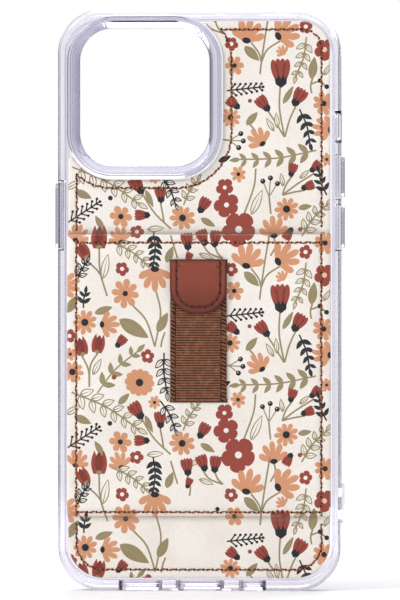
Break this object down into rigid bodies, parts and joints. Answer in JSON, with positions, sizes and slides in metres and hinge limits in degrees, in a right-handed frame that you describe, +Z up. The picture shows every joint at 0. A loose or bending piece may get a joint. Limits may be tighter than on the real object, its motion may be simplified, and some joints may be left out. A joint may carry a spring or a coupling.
{
  "type": "phone case",
  "caption": "Clear phone case with a printed leather back panel, a card pocket and an elastic finger strap with a leather tab.",
  "frame": {"origin": "centre of the phone seat, the inner face of the back plate", "axes": "+Z up towards the camera end, +Y out of the seat towards the phone, +X right as seen from behind the case"},
  "size_m": [0.083, 0.0158, 0.1668],
  "materials": {
    "clear_soft_shell": "clear soft plastic, glossy, faint cool tint",
    "clear_hard_plate": "clear hard plastic, glossy",
    "clear_guard": "clear soft plastic, glossy, faint cool tint",
    "clear_button": "smoke-tinted clear plastic, glossy",
    "adhesive_film": "matt white film",
    "backing_board": "matt off-white board",
    "printed_leather": "cream coated leather, satin, printed with flowers and leaves",
    "pocket_lining_fabric": "plain woven lining, matt",
    "elastic_webbing": "brown ribbed elastic, matt",
    "tab_leather": "reddish brown leather, fine grain, satin",
    "edge_thread": "orange-brown twisted thread",
    "tab_thread": "dark brown twisted thread"
  },
  "bodies": {
    "case": {"bumper_frame": "clear_soft_shell", "back_plate": "clear_hard_plate", "camera_guard_ring": "clear_guard", "panel_adhesive": "adhesive_film", "panel_backing_board": "backing_board", "base_leather": "printed_leather", "pocket_front_leather": "printed_leather", "pocket_stiffener": "backing_board", "pocket_lining": "pocket_lining_fabric", "strap_webbing_upper": "elastic_webbing", "strap_webbing_lower": "elastic_webbing", "strap_upper_anchor": "elastic_webbing", "strap_lower_anchor": "elastic_webbing", "strap_tab_leather": "tab_leather", "upper_edge_stitching": "edge_thread", "camera_edge_stitching": "edge_thread", "pocket_edge_stitching": "edge_thread", "lower_edge_stitching": "edge_thread", "pocket_mouth_stitching": "edge_thread", "pocket_bottom_stitching": "edge_thread", "strap_tab_stitching": "tab_thread"},
    "power_key": {"power_button": "clear_button"},
    "volume_up_key": {"volume_up_button": "clear_button"},
    "volume_down_key": {"volume_down_button": "clear_button"},
    "strap": {"strap_webbing_crown": "elastic_webbing"}
  },
  "joints": [
    {"name": "power_press", "type": "slide", "parent": "case", "child": "power_key", "axis": [1, 0, 0], "range_m": [0, 0.00035], "stiffness_N_per_m": 3000},
    {"name": "volume_up_press", "type": "slide", "parent": "case", "child": "volume_up_key", "axis": [-1, 0, 0], "range_m": [0, 0.00035], "stiffness_N_per_m": 3000},
    {"name": "volume_down_press", "type": "slide", "parent": "case", "child": "volume_down_key", "axis": [-1, 0, 0], "range_m": [0, 0.00035], "stiffness_N_per_m": 3000},
    {"name": "strap_lift", "type": "slide", "parent": "case", "child": "strap", "axis": [0, -1, 0], "range_m": [0, 0.016], "stiffness_N_per_m": 150, "deforming": ["strap_webbing_upper", "strap_webbing_lower", "strap_tab_leather", "strap_tab_stitching"]}
  ]
}
